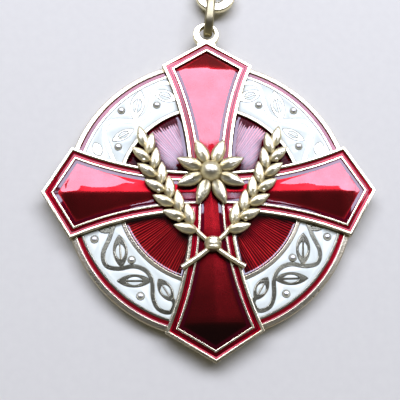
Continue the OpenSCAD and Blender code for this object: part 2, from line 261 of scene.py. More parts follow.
giltFinish = {
    "colour": (0.91, 0.84, 0.57), "warmColour": (0.85, 0.76, 0.46),
    "hollowGrimeAndShadeColour": (0.30, 0.22, 0.09), "hollowGrimeAndShade": 0.6, "dirtRoughness": 0.2, "roughness": 0.2,
    "roughDrift": (-0.05, 0.06), "cloud": 300, "grain": 7000, "scratch": 600,
    "scratchRoughness": 0.12, "reach": 0.35,
    "bump": 0.12, "bumpDepth": 0.02,
}
gilt = makeGilt("gilt", giltFinish)
castGilt = makeGilt("castGilt", {**giltFinish, "roughness": 0.32, "grain": 3000, "bump": 0.9,
                                 "bumpDepth": 0.08, "reach": 0.7, "hollowGrimeAndShade": 0.8})
# The vine, rim and link gilts are the same gilt darkened: painted shade. The bead gilt is paler and
# greyer
vineGilt = makeGilt("vineGilt", {**giltFinish, "roughness": 0.17, "hollowGrimeAndShade": 0.35, "reach": 0.3,
                                 "colour": (0.60, 0.58, 0.42), "warmColour": (0.50, 0.48, 0.32)})
beadGilt = makeGilt("beadGilt", {**giltFinish, "roughness": 0.38, "hollowGrimeAndShade": 0.9, "reach": 0.5,
                                 "colour": (0.80, 0.79, 0.70), "warmColour": (0.74, 0.72, 0.62)})
rimGilt = makeGilt("rimGilt", {**giltFinish, "roughness": 0.3, "grain": 4200, "bump": 0.7,
                               "bumpDepth": 0.05, "colour": (0.62, 0.56, 0.39),
                               "warmColour": (0.50, 0.43, 0.27)})
linkGilt = makeGilt("linkGilt", {**giltFinish, "colour": (0.34, 0.30, 0.17), "roughness": 0.4,
                                 "warmColour": (0.27, 0.23, 0.12)})


# Tilts a normal as if the glaze were rounder than the metal below: level near the axis of an arm,
# as steep as the metal at the cushion's width from it, and with a lean of its own along Y
def tiltNormal(tree, normal, split, look):
    sizes = [mathNode(tree, "ABSOLUTE", split[axis]) for axis in "XY"]
    away = mathNode(tree, "MINIMUM", *sizes)
    reach = mathNode(tree, "MAXIMUM", *sizes)
    end, under = look["cushionEnd"] * mm, look["underFade"] * mm
    tilt = product(tree, rangeNode(tree, away, 0.0, look["cushionSoft"] * mm, 0.0, look["cushion"]),
                   rangeNode(tree, away, 0.0, look["cushionWidth"] * mm, 1.0, 0.0),
                   rangeNode(tree, reach, end, end + look["cushionFade"] * mm, 1.0, 0.0),
                   rangeNode(tree, split["Y"], -under, under, look["cushionUnder"], 1.0))
    pushes = []
    for axis, other in ((0, 1), (1, 0)):
        nearer = mathNode(tree, "LESS_THAN", sizes[axis], sizes[other])
        side = mathNode(tree, "SIGN", split["XY"[axis]])
        pushes.append(product(tree, side, nearer, tilt, -1.0))
    leanEnd = look["leanEnd"] * mm
    lean = rangeNode(tree, split["Y"], leanEnd, leanEnd + look["leanFade"] * mm, look["lean"], 0.0)
    push = putNode(tree, "ShaderNodeCombineXYZ",
                   {0: pushes[0], 1: mathNode(tree, "ADD", pushes[1], lean)}).outputs[0]
    turned = putNode(tree, "ShaderNodeVectorTransform", {0: push}, vector_type="VECTOR",
                     convert_from="OBJECT", convert_to="WORLD").outputs[0]
    total = putNode(tree, "ShaderNodeVectorMath", {0: normal, 1: turned}, operation="ADD")
    return putNode(tree, "ShaderNodeVectorMath", {0: total.outputs[0]},
                   operation="NORMALIZE").outputs[0]


# Mask of the ground beyond a ragged arc, which lies nearer towards the level arms
def beyondArc(tree, split, uneven, look):
    flat = putNode(tree, "ShaderNodeCombineXYZ", {0: split["X"], 1: split["Y"]}).outputs[0]
    reach = putNode(tree, "ShaderNodeVectorMath", {0: flat}, operation="LENGTH").outputs["Value"]
    sideways = mathNode(tree, "SUBTRACT", mathNode(tree, "ABSOLUTE", split["X"]),
                        mathNode(tree, "ABSOLUTE", split["Y"]))
    sideways = product(tree, mathNode(tree, "MAXIMUM", sideways), look["arcSlant"])
    ragged = mathNode(tree, "ADD", sideways, product(tree, uneven, look["arcRagged"] * mm))
    return rangeNode(tree, mathNode(tree, "ADD", reach, ragged), look["arc"] * mm,
                     (look["arc"] + look["arcSoft"]) * mm)


# Clear enamel over metal: the metal below gives the colour, the slightly wavy glaze the gloss.
# Close to higher metal the glaze is thinned and the red darkened: painted shade
def makeRedEnamel(name, look, rays=False):
    material, tree, shader = startMaterial(name)
    marks = useGroup(tree, surfaceMarks, Cloud=look["cloud"], Grain=look["grain"],
                     Reach=look["reach"] * mm)
    cloud, height, rayGlaze = marks["Cloud"], marks["Grain"], 1.0
    place = objectPlace(tree)
    split = putNode(tree, "ShaderNodeSeparateXYZ", {0: place}).outputs
    tone = mixColours(tree, rangeNode(tree, cloud, *narrowDrift), look["colour"],
                      look["deepColour"])
    uneven = rangeNode(tree, cloud, *wideDrift, -look["edgeNoise"], look["edgeNoise"])
    if rays:
        height = useGroup(tree, raysUnderEnamel, Rays=look["rays"],
                          Unevenness=look["unevenness"])["Ray"]
        tone = mixColours(tree, rangeNode(tree, height, 0.0, 1.0, look["rayTone"], 0.0), tone,
                          look["valleyColour"])
        rayGlaze = rangeNode(tree, height, *look["rayCrest"], look["rayGlaze"], 1.0)
        uneven = mathNode(tree, "ADD", uneven,
                          rangeNode(tree, height, 0.0, 1.0, look["rayRagged"], -look["rayRagged"]))
    shadeMask = rangeNode(tree, mathNode(tree, "ADD", marks["Hollow"], uneven), look["closeFrom"],
                      look["closeTo"])
    loss = shadeMask
    if look["arc"]:
        # In the upper fields a ragged band before the outer arc gets painted shade: its red is
        # darkened and its glaze thinned;
        upper = rangeNode(tree, split["Y"], -mm, mm)
        arc = beyondArc(tree, split, uneven, look)
        shadeMask = mathNode(tree, "MAXIMUM", shadeMask, product(tree, arc, upper))
        loss = product(tree, shadeMask, upper)
    # Painted shade: darker red towards higher metal and in the upper arc band
    tone = mixColours(tree, product(tree, shadeMask, look["edge"]), tone, look["paintedShadeColour"])
    # Painted shade: the base colour darkens between two places along Y
    shade = rangeNode(tree, split["Y"], look["shadeFrom"] * mm, look["shadeTo"] * mm,
                      look["shade"], 1.0)
    # The glaze is set by place: it grows along Y where glazeRise asks and is gone past glazeEnd, a
    # painted sheen and painted shade
    weight, end = look["glazeWeight"], look["glazeEnd"] * mm
    glaze = product(tree, rangeNode(tree, cloud, *narrowDrift, weight, weight * look["thinGlaze"]),
                    rayGlaze,
                    rangeNode(tree, split["Y"], look["riseFrom"] * mm, look["riseTo"] * mm, 1.0,
                              look["glazeRise"]),
                    rangeNode(tree, split["Y"], end, end + look["glazeFade"] * mm, 1.0, 0.0),
                    rangeNode(tree, loss, 0.0, 1.0, 1.0, 1 - look["glazeLoss"]))
    wavy = bumpNormal(tree, 1.0, look["waveDepth"], noiseNode(tree, place, look["waves"], 1.0))
    if look["cushion"] or look["lean"]:
        wavy = tiltNormal(tree, wavy, split, look)
    smoothest, roughest = (look["roughness"] + drift for drift in look["roughDrift"])
    feed(tree, shader, {
        "Base Color": mixColours(tree, shade, (0, 0, 0), tone),
        "Roughness": rangeNode(tree, cloud, *wideDrift, smoothest, roughest),
        "Metallic": 1.0,
        "Normal": bumpNormal(tree, look["bump"], look["bumpDepth"], height),
        "Coat Weight": glaze,
        "Coat Roughness": look["gloss"],
        "Coat IOR": look["glazeIor"],
        "Coat Normal": wavy,
    })
    return material


redFinish = {
    "colour": (0.31, 0.008, 0.011), "deepColour": (0.195, 0.005, 0.007),
    "paintedShadeColour": (0.12, 0.001, 0.004), "edge": 0.7, "closeFrom": 0.14, "closeTo": 0.4,
    "edgeNoise": 0.06, "glazeLoss": 0.85, "thinGlaze": 0.85, "roughness": 0.24, "gloss": 0.02,
    "cloud": 240, "grain": 2500, "reach": 1.6, "bump": 0.12, "bumpDepth": 0.02,
    "waves": 200, "waveDepth": 0.12, "shadeFrom": -20, "shadeTo": -18, "shade": 1.0,
    "cushion": 0, "cushionWidth": 4.5, "cushionSoft": 0.3, "cushionEnd": 17.3,
    "cushionFade": 0.5, "cushionUnder": 0.88, "underFade": 0.05, "lean": 0, "leanEnd": 40,
    "leanFade": 2, "glazeWeight": 1.0, "glazeRise": 1.0,
    "riseFrom": 8, "riseTo": 14, "glazeEnd": 40, "glazeFade": 0.8, "glazeIor": 1.6,
    "roughDrift": (-0.03, 0.05), "arc": 0,
}
deepFinish = {**redFinish, "colour": (0.21, 0.002, 0.007), "deepColour": (0.14, 0.001, 0.004),
              "paintedShadeColour": (0.02, 0.0, 0.001), "roughness": 0.36, "reach": 0.3, "waveDepth": 0.05}
# Painted shade: armRed darkens towards the end of the bottom arm
armRed = makeRedEnamel("armRed", {**redFinish, "shadeFrom": -14, "shadeTo": -3, "shade": 0.25,
                                  "cushion": 0.137, "lean": -0.012, "leanEnd": 5,
                                  "closeFrom": 0.15, "closeTo": 0.38, "waveDepth": 0.16,
                                  "cloud": 420, "thinGlaze": 0.9})
# Painted shade: the brim beside the ridges is near-black under its glaze, and unglazed past the top
# arm's end
armBrim = makeRedEnamel("armBrim", {**redFinish, "colour": (0.05, 0.0, 0.004), "reach": 0.3,
                                    "deepColour": (0.03, 0.0, 0.003), "roughness": 0.4,
                                    "thinGlaze": 0.9, "glazeEnd": 17.6, "lean": 0.028})
# Painted shade: lineRed darkens above the middle
lineRed = makeRedEnamel("lineRed", {**deepFinish, "glazeLoss": 0.2, "shadeFrom": 4,
                                    "shadeTo": -2, "shade": 0.5})
channelRed = makeRedEnamel("channelRed", {**deepFinish, "glazeWeight": 0.45, "glazeRise": 2.0})
lineDeep = makeRedEnamel("lineDeep", {**deepFinish, "colour": (0.05, 0.0, 0.003),
                                      "deepColour": (0.03, 0.0, 0.002), "glazeWeight": 0.3})
sunburstRed = makeRedEnamel(
    "sunburstRed",
    {**deepFinish, "colour": (0.31, 0.010, 0.008), "deepColour": (0.21, 0.003, 0.006),
     "rays": 200.0, "unevenness": 0.9, "rayTone": 0.95, "rayRagged": 0.07, "rayGlaze": 0.7,
     "rayCrest": (0.2, 0.8), "valleyColour": (0.035, 0.0, 0.001), "reach": 1.7,
     "closeFrom": 0.12, "closeTo": 0.3, "edgeNoise": 0.14, "edge": 0.93, "glazeLoss": 0.95,
     "thinGlaze": 1.0, "glazeIor": 1.85, "bump": 0.8, "bumpDepth": 0.05, "waves": 120,
     "waveDepth": 0.35, "arc": 11.3, "arcSlant": 0.35, "arcRagged": 5, "arcSoft": 0.15}, rays=True)


def makeWhiteEnamel(name, look):
    material, tree, shader = startMaterial(name)
    marks = useGroup(tree, surfaceMarks, Cloud=look["cloud"], Grain=look["grain"],
                     Reach=look["reach"] * mm)
    tone = mixColours(tree, rangeNode(tree, marks["Cloud"], *wideDrift), look["colour"],
                      look["coolColour"])
    feed(tree, shader, {
        # Painted shade: the white greys towards higher metal
        "Base Color": mixColours(tree, product(tree, marks["Hollow"], look["edge"]), tone,
                                 look["paintedShadeColour"]),
        "Roughness": rangeNode(tree, marks["Cloud"], *wideDrift, *look["roughness"]),
        "Specular IOR Level": look["specular"],
        "Normal": bumpNormal(tree, look["bump"], look["bumpDepth"], marks["Grain"]),
        "Coat Weight": look["glaze"],
        "Coat Roughness": look["gloss"],
    })
    return material


whiteFinish = {
    "colour": (0.74, 0.78, 0.62), "coolColour": (0.70, 0.74, 0.60),
    "paintedShadeColour": (0.32, 0.30, 0.27), "edge": 0.5, "roughness": (0.16, 0.26), "specular": 0.15,
    "gloss": 0.04, "glaze": 0.22, "cloud": 320, "grain": 3000, "reach": 0.25, "bump": 0.12,
    "bumpDepth": 0.02,
}
ringWhite = makeWhiteEnamel("ringWhite", whiteFinish)

floorMesh = bpy.data.meshes.new("floor")
floorShape = bmesh.new()
bmesh.ops.create_circle(floorShape, cap_ends=True, segments=64,
                        radius=studio["floorSize"] * mm / 2)
floorShape.to_mesh(floorMesh)
floorShape.free()
floor = bpy.data.objects.new("floor", floorMesh)
scene.collection.objects.link(floor)
floorPaper, floorTree, floorShader = startMaterial("floorPaper")
paperNoise = noiseNode(floorTree, objectPlace(floorTree), studio["floorGrain"], 5.0)
feed(floorTree, floorShader, {
    "Base Color": mixColours(floorTree, rangeNode(floorTree, paperNoise, *wideDrift),
                             studio["floorColour"], studio["floorDrift"]),
    "Roughness": studio["floorRoughness"],
})
floorMesh.materials.append(floorPaper)
print("studio and finishes ready")


# Turns a shape drawn in millimetres into a piece that rides on the medal
def addPiece(name, shape, material, nodes, creaseAngle=40, second=None):
    bmesh.ops.scale(shape, vec=(mm, mm, mm), verts=shape.verts)
    mesh = bpy.data.meshes.new(name)
    shape.to_mesh(mesh)
    shape.free()
    mesh.shade_smooth()
    mesh.set_sharp_from_angle(angle=math.radians(creaseAngle))
    mesh.materials.append(material)
    if second:
        mesh.materials.append(second)
    piece = bpy.data.objects.new(name, mesh)
    scene.collection.objects.link(piece)
    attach(piece, "root")
    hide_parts(*nodes)
    return piece


def mergeDoubles(shape, distance=0.001):
    bmesh.ops.remove_doubles(shape, verts=shape.verts, dist=distance)


def faceOutwards(shape):
    bmesh.ops.recalc_face_normals(shape, faces=shape.faces)


# A merged copy of a CAD node, in millimetres, with its flat faces whole
def copyNode(node):
    shape = bmesh.new()
    shape.from_mesh(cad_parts[node].data)
    bmesh.ops.scale(shape, vec=(1 / mm,) * 3, verts=shape.verts)
    mergeDoubles(shape, 0.002)
    bmesh.ops.dissolve_limit(shape, angle_limit=math.radians(0.5), verts=shape.verts,
                             edges=shape.edges, use_dissolve_boundaries=False)
    return shape


# Insets a face again and again, each time to a distance from its first edge and a height
def insetRows(shape, face, rows, start=0):
    made = []
    reached = start
    for distance, height in rows:
        made += bmesh.ops.inset_region(shape, faces=[face], thickness=distance - reached,
                                       use_even_offset=True, use_boundary=True)["faces"]
        for vert in face.verts:
            vert.co.z = height
        reached = distance
    return made


def onlyVerts(geometry):
    return [g for g in geometry if isinstance(g, bmesh.types.BMVert)]


def openEdges(shape):
    return [e for e in shape.edges if e.is_boundary]


# Lifts faces to a height, with walls below them
def liftFaces(shape, faces, height):
    made = bmesh.ops.extrude_face_region(shape, geom=faces)["geom"]
    for vert in onlyVerts(made):
        vert.co.z = height
    return next(g for g in made if isinstance(g, bmesh.types.BMFace))


# Draws walls from the open rim of a shape to a height
def drawWalls(shape, height):
    made = bmesh.ops.extrude_edge_only(shape, edges=openEdges(shape))["geom"]
    for vert in onlyVerts(made):
        vert.co.z = height


# Draws walls down to a height and closes the shape there
def closeBelow(shape, height):
    drawWalls(shape, height)
    bmesh.ops.holes_fill(shape, edges=openEdges(shape), sides=0)
    mergeDoubles(shape)
    faceOutwards(shape)


# Adds the mirror image on the other side of the medal
def mirrorSideways(shape):
    bmesh.ops.mirror(shape, geom=shape.verts[:] + shape.edges[:] + shape.faces[:],
                     matrix=Matrix.Identity(4), merge_dist=0.0001, axis="X")
    faceOutwards(shape)


def onCircle(degrees, radius=1.0, centre=(0, 0)):
    return (centre[0] + radius * math.cos(math.radians(degrees)),
            centre[1] + radius * math.sin(math.radians(degrees)))


def turnZ(degrees):
    return Matrix.Rotation(math.radians(degrees), 4, "Z")


# Spins rows of radius and height round a centre
def ringProfile(shape, rows, centre, steps):
    verts = [shape.verts.new((centre[0] + r, centre[1], z)) for r, z in rows]
    edges = [shape.edges.new(pair) for pair in zip(verts, verts[1:])]
    bmesh.ops.spin(shape, geom=verts + edges, cent=(centre[0], centre[1], 0), axis=(0, 0, 1),
                   angle=2 * math.pi, steps=steps, use_merge=True)
    mergeDoubles(shape)
    faceOutwards(shape)


# Points on a crest between two places of a profile, with its crown at a share of the way; a low
# flatness gives a flat top
def crest(outer, inner, base, top, count=8, flatness=0.62, crownShare=0.5):
    crown = outer + (inner - outer) * crownShare
    points = []
    for i in range(count + 1):
        across, up = onCircle(180 * i / count)
        side = outer if across > 0 else inner
        points.append((crown + (side - crown) * abs(across) ** flatness,
                       base + (top - base) * max(0.0, up) ** flatness))
    return points


# Band that falls gently outward, with a round outer corner and a thin round lip inside
def bandRows(outer, inner, top, fall, bend, lip):
    rows = [(outer - bend * (1 - side), top - fall - bend * (1 - up))
            for side, up in map(onCircle, range(0, 91, 18))]
    return rows + [(inner + lip * (1 + side), top - lip * (1 - up))
                   for side, up in map(onCircle, range(90, 181, 18))]


# Disc
disc = {
    "radius": 19.45, "backEdge": [(19.15, 0), (19.36, 0.07), (19.45, 0.28)], "rimWidth": 0.74,
    "crest": 1.98, "borderFloor": 1.35, "line": 18.12, "lineWidth": 0.27, "lineShoulder": 1.87,
    "lineTop": 1.90, "lineFlatness": 0.35, "ringFloor": 1.4, "ringInner": 12.65,
    "innerRimWidth": 0.5, "innerRimTop": 1.95, "rayFloor": 1.25, "steps": 192,
    "rimShape": (0.085, 0.2, 0.08), "innerRimShape": (0.05, 0.1, 0.06),
}


def makeDisc():
    shape = bmesh.new()
    border = disc["radius"] - disc["rimWidth"]
    lineInner = disc["line"] - disc["lineWidth"]
    rays = disc["ringInner"] - disc["innerRimWidth"]
    rows = [(0, 0)] + disc["backEdge"]
    rows += bandRows(disc["radius"], border, disc["crest"], *disc["rimShape"])
    rows += [(border, disc["borderFloor"]), (disc["line"], disc["borderFloor"])]
    rows += crest(disc["line"], lineInner, disc["lineShoulder"], disc["lineTop"],
                  flatness=disc["lineFlatness"])
    rows += [(lineInner, disc["ringFloor"]), (disc["ringInner"], disc["ringFloor"])]
    rows += bandRows(disc["ringInner"], rays, disc["innerRimTop"], *disc["innerRimShape"])
    rows += [(rays, disc["rayFloor"]), (0, disc["rayFloor"])]
    ringProfile(shape, rows, (0, 0), disc["steps"])
    for face in shape.faces:
        reach = face.calc_center_median().xy.length
        inRim = rays + disc["innerRimShape"][2] < reach < disc["ringInner"]
        if inRim or reach > border + disc["rimShape"][2]:
            face.material_index = 1
        elif lineInner < reach < disc["line"]:
            face.material_index = 2
    piece = addPiece("discPlate", shape, gilt, ["disc"], 12, rimGilt)
    piece.data.materials.append(vineGilt)
    return piece


makeDisc()
print("disc done")

# Vine and beads
vine = {
    "stemTop": 1.84, "leafTop": 1.835, "stemWidth": 0.6, "depth": 0.4, "edgeRound": 0.025,
    "gap": 0.045, "slotLengthShare": 0.52, "slotWidthShare": 0.7, "midrib": 0.2, "slotShift": -0.05,
    "beadRadius": 0.5, "beadPlace": 1.7, "beadFlatness": 0.8,
    "lowerStem": [(12.9, -4.2), (13.5, -6.2), (14.3, -8.2), (13.9, -9.8), (12.3, -10.25),
                  (10.3, -9.95), (8.7, -10.6), (7.95, -12), (7.85, -14), (7.2, -15.5),
                  (5.8, -16), (5.1, -15), (5.4, -14.2)],
    "lowerLeaves": [((11.9, -10.1), (12.25, -5.75), 1.85, True),
                    ((8.0, -11.9), (12.5, -11.85), 1.65, True),
                    ((5.3, -14.6), (7.15, -11.65), 1.7, True),
                    ((13.1, -5.2), (15.1, -4.9), 0.9, False)],
    "lowerBeads": [(15.45, -6.3), (10.6, -9.1), (9.45, -13.85)],
    "upperStem": [(12.9, 4.2), (14.0, 7.2), (14.4, 9.0), (13.8, 10.2), (12.4, 10.45),
                  (10.5, 10.4), (9.0, 10.95), (8.2, 12.2), (7.8, 14), (7.4, 15.5),
                  (6.5, 16.15), (5.0, 16.1)],
    "upperLeaves": [((10.3, 10.5), (9.4, 15.0), 1.9, True),
                    ((10.3, 9.2), (13.3, 7.45), 1.3, True),
                    ((14.9, 5.3), (15.6, 7.25), 1.3, False),
                    ((7.6, 14.8), (4.3, 13.6), 1.7, True)],
    "upperBeads": [(12.05, 11.95), (7.15, 12.8), (12.45, 6.6)],
}


# Smooth curve through points of any number of numbers each
def smoothLine(points, steps):
    made = []
    for i in range(len(points) - 1):
        a, b, c, d = (points[max(i - 1, 0)], points[i], points[i + 1],
                      points[min(i + 2, len(points) - 1)])
        for s in range(steps):
            t = s / steps
            made.append(tuple(
                0.5 * (2 * q + (r - p) * t + (2 * p - 5 * q + 4 * r - w) * t * t
                       + (3 * q - p - 3 * r + w) * t ** 3)
                for p, q, r, w in zip(a, b, c, d)))
    return made + [tuple(points[-1])]


# Runs a round bar of changing thickness through points (x, y, z, share of its radius)
def barThrough(points, radius, resolution=3):
    data = bpy.data.curves.new("bar", "CURVE")
    data.dimensions = "3D"
    data.bevel_depth = radius
    data.bevel_resolution = resolution
    data.use_fill_caps = True
    spline = data.splines.new("POLY")
    spline.points.add(len(points) - 1)
    for place, (x, y, z, share) in zip(spline.points, points):
        place.co = (x, y, z, 1)
        place.radius = share
    return curveShape(data)


def curveShape(data):
    holder = bpy.data.objects.new("curveHolder", data)
    mesh = bpy.data.meshes.new_from_object(holder)
    shape = bmesh.new()
    shape.from_mesh(mesh)
    bpy.data.objects.remove(holder)
    bpy.data.curves.remove(data)
    bpy.data.meshes.remove(mesh)
    mergeDoubles(shape, 0.0005)
    return shape


# Adds one shape to another and frees it
def joinShape(shape, part, matrix=None):
    if matrix is not None:
        bmesh.ops.transform(part, matrix=matrix, verts=part.verts)
    mesh = bpy.data.meshes.new("part")
    part.to_mesh(mesh)
    part.free()
    shape.from_mesh(mesh)
    bpy.data.meshes.remove(mesh)


def leafEdge(length, width, side, count=12):
    radius = (length ** 2 + width ** 2) / (4 * width)
    half = math.asin(length / 2 / radius)
    return [(length / 2 + side * radius * math.sin(half * (2 * i / count - 1)),
             side * (radius * math.cos(half * (2 * i / count - 1)) - radius + width / 2))
            for i in range(count + 1)]


# Flat plate with rounded edges inside closed outlines; an outline inside another is a hole
def plateInside(outlines):
    data = bpy.data.curves.new("plate", "CURVE")
    data.dimensions = "2D"
    data.fill_mode = "BOTH"
    data.extrude = vine["depth"] / 2 - vine["edgeRound"]
    data.bevel_depth = vine["edgeRound"]
    data.bevel_resolution = 1
    data.offset = -vine["edgeRound"] - vine["gap"]
    for outline in outlines:
        spline = data.splines.new("POLY")
        spline.points.add(len(outline) - 1)
        spline.use_cyclic_u = True
        for place, (x, y) in zip(spline.points, outline):
            place.co = (x, y, 0, 1)
    return curveShape(data)


# Leaf along +X, pierced by a slot on each side of its midrib
def leafOutlines(length, width, pierced):
    outlines = [leafEdge(length, width, 1)[:-1] + leafEdge(length, width, -1)[:-1]]
    if pierced:
        gapHalf = vine["midrib"] / 2
        slotLength, slotWidth = vine["slotLengthShare"] * length, vine["slotWidthShare"] * width
        start = (length - slotLength) / 2 + vine["slotShift"]
        for side in (1, -1):
            arc = [(start + x, y) for x, y in leafEdge(slotLength, slotWidth, side)
                   if abs(y) > gapHalf]
            outlines.append([(arc[0][0], side * gapHalf)] + arc + [(arc[-1][0], side * gapHalf)])
    return outlines


def stemOutline(line, half):
    sides = ([], [])
    for i, place in enumerate(line):
        way = Vector(line[min(i + 1, len(line) - 1)]) - Vector(line[max(i - 1, 0)])
        across = Vector((-way.y, way.x)).normalized() * half
        sides[0].append(tuple(Vector(place) + across))
        sides[1].append(tuple(Vector(place) - across))
    return sides[0] + sides[1][::-1]


def makeVine():
    shape = bmesh.new()
    for stem, leaves in (("lowerStem", "lowerLeaves"), ("upperStem", "upperLeaves")):
        outline = stemOutline(smoothLine(vine[stem], 6), vine["stemWidth"] / 2)
        joinShape(shape, plateInside([outline]),
                  Matrix.Translation((0, 0, vine["stemTop"] - vine["depth"] / 2)))
        for base, tip, width, pierced in vine[leaves]:
            way = Vector(tip) - Vector(base)
            place = Matrix.Translation((*base, vine["leafTop"] - vine["depth"] / 2))
            joinShape(shape, plateInside(leafOutlines(way.length, width, pierced)),
                      place @ Matrix.Rotation(math.atan2(way.y, way.x), 4, "Z"))
    mirrorSideways(shape)
    return addPiece("vine", shape, vineGilt, ["disc"], 15)


def makeBeads():
    shape = bmesh.new()
    for x, y in vine["lowerBeads"] + vine["upperBeads"]:
        bead = bmesh.new()
        radius = vine["beadRadius"]
        rows = [(radius * side, vine["beadPlace"] + radius * up ** vine["beadFlatness"])
                for side, up in map(onCircle, range(90, -1, -10))]
        ringProfile(bead, rows + [(radius, disc["ringFloor"]), (0, disc["ringFloor"])], (x, y), 20)
        joinShape(shape, bead)
    mirrorSideways(shape)
    return addPiece("beads", shape, beadGilt, ["disc"])


makeVine()
makeBeads()
print("vine done")

# Cross
cross = {
    "reach": 22.5, "shoulderReach": 18.64, "shoulderHalf": 6.36, "waistHalf": 2.8, "waistX": 1.5,
    "sideRadius": 43, "sideSteps": 16, "lastSideX": 16.7, "base": 1.43,
    "rim": (0.0, 0.42), "rimShoulder": 2.32, "ridge": (1.1, 1.37), "ridgeShoulder": 2.4,
    "crestFlatness": 0.48, "wallTop": 2.2, "top": 2.5, "floor": 2.0,
    "loopCentre": (0, 23.62), "loopRadius": 1.87, "holeCentre": (0.15, 23.85), "holeRadius": 1.05,
    "loopBase": 1.5, "loopTop": 2.4, "loopRound": 0.2,
    "foot": [(-1.4, 21.45), (0, 22.2), (1.4, 21.45), (1.25, 22.5), (-1.25, 22.5)],
    "footTop": 2.36, "footRound": 0.15,
}


# Half the width of an arm at x, drawn in by an inset
def armSideY(x, inset):
    centreY = cross["waistHalf"] + cross["sideRadius"]
    return centreY - math.sqrt((cross["sideRadius"] + inset) ** 2 - (x - cross["waistX"]) ** 2)


# White ring, border and sunburst
ringEnamel = {"softEdge": 0.09, "topAbove": 1.79, "sharpFrom": 0.9}
borderEnamel = {"rows": [(0.04, 1.895), (0.12, 1.89)], "edge": 1.895, "outerEdge": 1.91,
                "outerReach": 18.4, "innerBelow": 18.3, "innerReach": 18.14}
sunburst = {"rows": [(0.05, 1.81), (0.14, 1.785), (0.3, 1.758), (0.5, 1.737)],
            "edge": 1.86, "outerEdge": 1.86, "outerReach": 12, "brim": 0.6, "brimFrom": 4,
            "arcReach": 11.55, "arcBelow": 1.8, "arcDrop": 0.02}


def makeWhiteRing(k):
    shape = copyNode(f"white_enamel_{k}")
    tops = [e for e in shape.edges if len(e.link_faces) == 2
            and e.calc_face_angle(0) > ringEnamel["sharpFrom"]
            and min(v.co.z for v in e.verts) > ringEnamel["topAbove"]]
    bmesh.ops.bevel(shape, geom=tops, affect="EDGES", offset=ringEnamel["softEdge"], segments=2,
                    profile=0.5, material=-1, clamp_overlap=True)
    mergeDoubles(shape, 0.0005)
    return addPiece(f"whiteField{k}", shape, ringWhite, [f"white_enamel_{k}"])


# Enamel that creeps up the metal round it and lies a little lower in the middle
def makePool(name, node, look, material, second=None):
    shape = copyNode(node)
    if "innerReach" in look:
        for vert in (v for v in shape.verts if v.co.xy.length < look["innerBelow"]):
            vert.co.xy *= look["innerReach"] / vert.co.xy.length
    face = max((f for f in shape.faces if f.normal.z > 0.5), key=lambda f: f.calc_area())
    for vert in face.verts:
        outside = vert.co.xy.length > look["outerReach"]
        vert.co.z = look["outerEdge"] if outside else look["edge"]
    strips = insetRows(shape, face, look["rows"])
    if "arcReach" in look:
        lowest = look["rows"][-1][1]
        for vert in {v for strip in strips for v in strip.verts}:
            if vert.co.xy.length > look["arcReach"] and vert.co.z < look["arcBelow"]:
                vert.co.z = max(lowest, vert.co.z - look["arcDrop"])
    for strip in strips:
        x, y, _ = strip.calc_center_median()
        if second and y > look["brimFrom"] and abs(x) < armSideY(y, 0) + look["brim"]:
            strip.material_index = 1
    return addPiece(name, shape, material, [node], second=second)


for k in range(1, 5):
    makeWhiteRing(k)
    makePool(f"borderLine{k}", f"border_enamel_{k}", borderEnamel, lineRed)
    makePool(f"sunburst{k}", f"sunburst_enamel_{k}", sunburst, sunburstRed,
             armBrim)
print("ring enamels done")


# The cross's outline as one flat face; the last part of each curved side is one edge, long enough
# for the insets
def crossFace(shape, height):
    centreY = cross["waistHalf"] + cross["sideRadius"]
    corner = cross["waistHalf"]
    for _ in range(8):
        corner = armSideY(corner, 0)
    inner, outer = (math.asin((x - cross["waistX"]) / cross["sideRadius"])
                    for x in (corner, cross["lastSideX"]))
    start = shape.verts.new((corner, corner, height))
    bmesh.ops.spin(shape, geom=[start], cent=(cross["waistX"], centreY, 0), axis=(0, 0, 1),
                   angle=outer - inner, steps=cross["sideSteps"])
    last = max(shape.verts, key=lambda v: v.co.x)
    shoulder = shape.verts.new((cross["shoulderReach"], cross["shoulderHalf"], height))
    shape.edges.new((last, shoulder))
    shape.edges.new((shoulder, shape.verts.new((cross["reach"], 0, height))))
    bmesh.ops.mirror(shape, geom=shape.verts[:] + shape.edges[:], matrix=Matrix.Identity(4),
                     merge_dist=0.01, axis="Y")
    bmesh.ops.spin(shape, geom=shape.verts[:] + shape.edges[:], cent=(0, 0, 0), axis=(0, 0, 1),
                   angle=math.radians(270), steps=3, use_duplicate=True)
    mergeDoubles(shape, 0.01)
    face = bmesh.ops.contextual_create(shape, geom=shape.edges[:])["faces"][0]
    if face.normal.z < 0:
        bmesh.ops.reverse_faces(shape, faces=[face])
    return face


# The same face, drawn in from the outline
def innerFace(shape, inset, height):
    face = crossFace(shape, height)
    bmesh.ops.delete(shape, geom=insetRows(shape, face, [(inset, height)]), context="FACES")
    return face


# Rows of distance and height over a rim between two distances
def rimRows(outer, inner, shoulder, top, floor, count=8):
    hair = 0.001
    return (crest(outer + hair, inner - hair, shoulder, top, count, cross["crestFlatness"])
            + [(inner, floor)])


def makeCross():
    shape = bmesh.new()
    face = liftFaces(shape, [crossFace(shape, cross["base"])], cross["wallTop"])
    rows = rimRows(*cross["rim"], cross["rimShoulder"], cross["top"], cross["floor"], 10)
    # The first rows face outwards and take the rim's finish, as the walls do
    outerRows, rows = rows[:4], rows[4:]
    outer = insetRows(shape, face, outerRows)
    for wall in outer + [f for f in shape.faces if abs(f.normal.z) < 0.1]:
        wall.material_index = 1
    rows.append((cross["ridge"][0], cross["floor"]))
    rows += rimRows(*cross["ridge"], cross["ridgeShoulder"], cross["top"], cross["floor"])
    insetRows(shape, face, rows, outerRows[-1][0])
    faceOutwards(shape)
    joinShape(shape, makeLoop())
    return addPiece("crossPlate", shape, gilt, ["cross"], 16, rimGilt)


